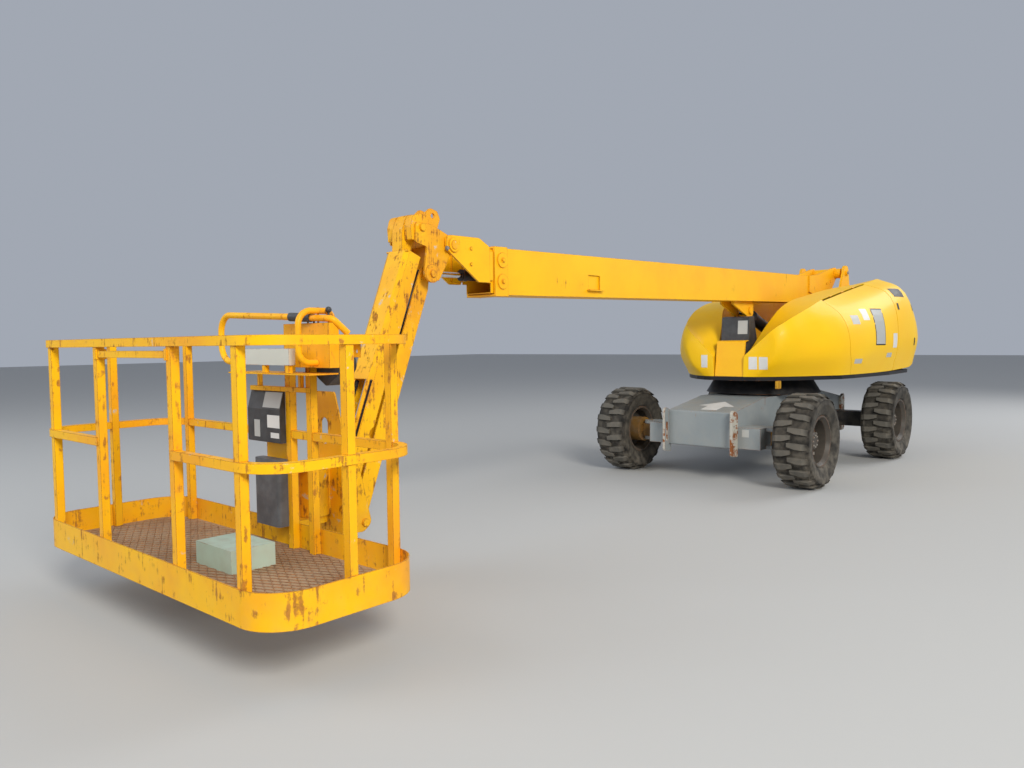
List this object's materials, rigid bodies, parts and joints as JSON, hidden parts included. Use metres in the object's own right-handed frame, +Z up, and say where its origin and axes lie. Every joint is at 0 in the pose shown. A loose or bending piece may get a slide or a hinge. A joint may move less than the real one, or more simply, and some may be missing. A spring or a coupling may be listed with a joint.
{
  "type": "telescopic boom lift",
  "caption": "Wheeled telescopic boom lift with a folding jib, a turning work basket, curved engine hoods and lugged tyres.",
  "frame": {"origin": "on the ground, under the middle of the machine's length and width", "axes": "+X forward along the boom towards the basket, +Y to the machine's left, +Z up"},
  "size_m": [9.1004, 2.302, 2.2555],
  "materials": {
    "grey_paint": "worn grey paint with rust and dust",
    "black_steel": "black paint, dusty",
    "rusty_rim": "dark paint with rust",
    "bare_steel": "bare steel with a rust film",
    "tyre_rubber": "dusty worn rubber",
    "yellow_paint": "weathered yellow paint with rust at the edges",
    "engine_grey": "painted castings, simplified",
    "dark_plastic": "dark moulded plastic",
    "black_paint": "black paint",
    "black_hose": "black rubber hose",
    "pale_grey_paint": "weathered pale grey paint",
    "chrome_rod": "polished hard chrome",
    "grating": "rusty expanded mesh",
    "pale_green_paint": "weathered pale green paint"
  },
  "bodies": {
    "chassis": {"chassis_frame": "grey_paint", "slew_ring": "black_steel", "front_axle": "grey_paint", "rear_axle": "black_steel"},
    "knuckle_left": {"knuckle_left": "black_steel"},
    "knuckle_right": {"knuckle_right": "black_steel"},
    "tie_rod": {"tie_rod": "bare_steel"},
    "wheel_front_left": {"tyre_front_left": "tyre_rubber", "rim_front_left": "rusty_rim"},
    "wheel_front_right": {"tyre_front_right": "tyre_rubber", "rim_front_right": "rusty_rim"},
    "wheel_rear_left": {"tyre_rear_left": "tyre_rubber", "rim_rear_left": "rusty_rim"},
    "wheel_rear_right": {"tyre_rear_right": "tyre_rubber", "rim_rear_right": "rusty_rim"},
    "turret": {"turntable": "black_steel", "uprights": "yellow_paint", "counterweight": "black_steel", "engine_block": "engine_grey", "hydraulic_tank": "engine_grey", "centre_cover": "yellow_paint", "cowl": "dark_plastic", "hood_noses": "yellow_paint", "tail_cowl": "yellow_paint"},
    "door_left": {"door_left": "yellow_paint"},
    "door_right": {"door_right": "yellow_paint"},
    "boom": {"boom_outer": "yellow_paint"},
    "fly_boom": {"boom_inner": "yellow_paint"},
    "lift_barrel": {"lift_barrel": "black_paint"},
    "lift_rod": {"lift_rod": "chrome_rod"},
    "level_barrel": {"level_barrel": "black_paint"},
    "level_rod": {"level_rod": "chrome_rod"},
    "jib_head": {"jib_head": "yellow_paint"},
    "jib_lower": {"jib_lower_arm": "yellow_paint"},
    "jib_upper": {"jib_upper_arm": "yellow_paint", "jib_hoses": "black_hose"},
    "jib_barrel": {"jib_barrel": "black_paint"},
    "jib_rod": {"jib_rod": "chrome_rod"},
    "bracket": {"platform_bracket": "yellow_paint"},
    "basket": {"basket_mount": "yellow_paint", "basket_frame": "yellow_paint", "basket_floor": "grating", "console": "yellow_paint", "console_front": "pale_grey_paint", "console_controls": "dark_plastic", "document_box": "dark_plastic", "container": "dark_plastic", "foot_switch": "pale_green_paint"},
    "gate_bar": {"gate_bar": "yellow_paint"}
  },
  "joints": [
    {"name": "slew", "type": "hinge", "parent": "chassis", "child": "turret", "pos_m": [-2.2695, 0, 0.86], "axis": [0, 0, 1], "continuous": true},
    {"name": "steer_left", "type": "hinge", "parent": "chassis", "child": "knuckle_left", "pos_m": [-1.0845, 0.69, 0.432], "axis": [0, 0, 1], "range_deg": [-30, 30]},
    {"name": "steer_right", "type": "hinge", "parent": "chassis", "child": "knuckle_right", "pos_m": [-1.0845, -0.69, 0.432], "axis": [0, 0, 1], "range_deg": [-30, 30]},
    {"name": "tie_rod_slide", "type": "slide", "parent": "chassis", "child": "tie_rod", "axis": [0, 1, 0], "range_m": [-0.15, 0.15]},
    {"name": "spin_front_left", "type": "hinge", "parent": "knuckle_left", "child": "wheel_front_left", "pos_m": [-1.0845, 0.946, 0.432], "axis": [0, 1, 0], "continuous": true},
    {"name": "spin_front_right", "type": "hinge", "parent": "knuckle_right", "child": "wheel_front_right", "pos_m": [-1.0845, -0.946, 0.432], "axis": [0, 1, 0], "continuous": true},
    {"name": "spin_rear_left", "type": "hinge", "parent": "chassis", "child": "wheel_rear_left", "pos_m": [-3.4545, 0.946, 0.432], "axis": [0, 1, 0], "continuous": true},
    {"name": "spin_rear_right", "type": "hinge", "parent": "chassis", "child": "wheel_rear_right", "pos_m": [-3.4545, -0.946, 0.432], "axis": [0, 1, 0], "continuous": true},
    {"name": "door_left_hinge", "type": "hinge", "parent": "turret", "child": "door_left", "pos_m": [-2.7695, 0.668, 1.863], "axis": [0.9854, 0, -0.1705], "range_deg": [0, 55]},
    {"name": "door_right_hinge", "type": "hinge", "parent": "turret", "child": "door_right", "pos_m": [-2.7695, -0.668, 1.863], "axis": [-0.9854, 0, 0.1705], "range_deg": [0, 55]},
    {"name": "boom_lift", "type": "hinge", "parent": "turret", "child": "boom", "pos_m": [-4.0545, 0, 2.165], "axis": [0, -1, 0], "range_deg": [0, 75]},
    {"name": "telescope", "type": "slide", "parent": "boom", "child": "fly_boom", "axis": [0.9998, 0, -0.0201], "range_m": [0, 4.9]},
    {"name": "lift_barrel_turn", "type": "hinge", "parent": "turret", "child": "lift_barrel", "pos_m": [-3.5695, 0, 1.075], "axis": [0, -1, 0], "range_deg": [-2, 63.21]},
    {"name": "lift_rod_slide", "type": "slide", "parent": "lift_barrel", "child": "lift_rod", "axis": [0.95, 0, 0.3122], "range_m": [-0.005, 1.3331]},
    {"name": "head_level", "type": "hinge", "parent": "fly_boom", "child": "jib_head", "pos_m": [2.5875, 0, 1.97], "axis": [0, -1, 0], "range_deg": [-83, 8]},
    {"name": "level_barrel_turn", "type": "hinge", "parent": "fly_boom", "child": "level_barrel", "pos_m": [1.6805, 0, 1.815], "axis": [0, -1, 0], "range_deg": [-0.5, 4.63]},
    {"name": "level_rod_slide", "type": "slide", "parent": "level_barrel", "child": "level_rod", "axis": [0.9998, 0, -0.0184], "range_m": [-0.2253, 0.005]},
    {"name": "jib_lift", "type": "hinge", "parent": "jib_head", "child": "jib_lower", "pos_m": [2.7485, 0, 1.785], "axis": [0, -1, 0], "range_deg": [0, 125]},
    {"name": "jib_upper_turn", "type": "hinge", "parent": "jib_head", "child": "jib_upper", "pos_m": [2.8285, 0, 2.058], "axis": [0, -1, 0], "range_deg": [-8, 133]},
    {"name": "jib_barrel_turn", "type": "hinge", "parent": "jib_head", "child": "jib_barrel", "pos_m": [2.7485, 0, 1.785], "axis": [0, -1, 0], "range_deg": [-8, 128.25]},
    {"name": "jib_rod_slide", "type": "slide", "parent": "jib_barrel", "child": "jib_rod", "axis": [0.4769, 0, -0.879], "range_m": [-0.04, 0.528]},
    {"name": "bracket_level", "type": "hinge", "parent": "jib_lower", "child": "bracket", "pos_m": [3.30039, 0, 0.34729], "axis": [0, -1, 0], "range_deg": [-133, 8]},
    {"name": "basket_turn", "type": "hinge", "parent": "bracket", "child": "basket", "pos_m": [3.5605, 0, 0.4], "axis": [0, 0, 1], "range_deg": [-90, 90]},
    {"name": "gate_slide", "type": "slide", "parent": "basket", "child": "gate_bar", "axis": [0, 0, -1], "range_m": [0, 0.42]}
  ],
  "couplings": [
    {"joint": "steer_right", "follows": "steer_left", "ratio": 1},
    {"joint": "tie_rod_slide", "follows": "steer_left", "m_per_rad": -0.225},
    {"joint": "lift_barrel_turn", "follows": "boom_lift", "ratio": 0.81608},
    {"joint": "lift_rod_slide", "follows": "boom_lift", "m_per_rad": 1.0146},
    {"joint": "head_level", "follows": "boom_lift", "ratio": -1},
    {"joint": "level_barrel_turn", "follows": "boom_lift", "ratio": 0.053975},
    {"joint": "level_rod_slide", "follows": "boom_lift", "m_per_rad": -0.16833},
    {"joint": "jib_upper_turn", "follows": "jib_lift", "ratio": 1},
    {"joint": "jib_barrel_turn", "follows": "jib_lift", "ratio": 0.96199},
    {"joint": "jib_rod_slide", "follows": "jib_lift", "m_per_rad": 0.2237},
    {"joint": "bracket_level", "follows": "jib_lift", "ratio": -1}
  ]
}
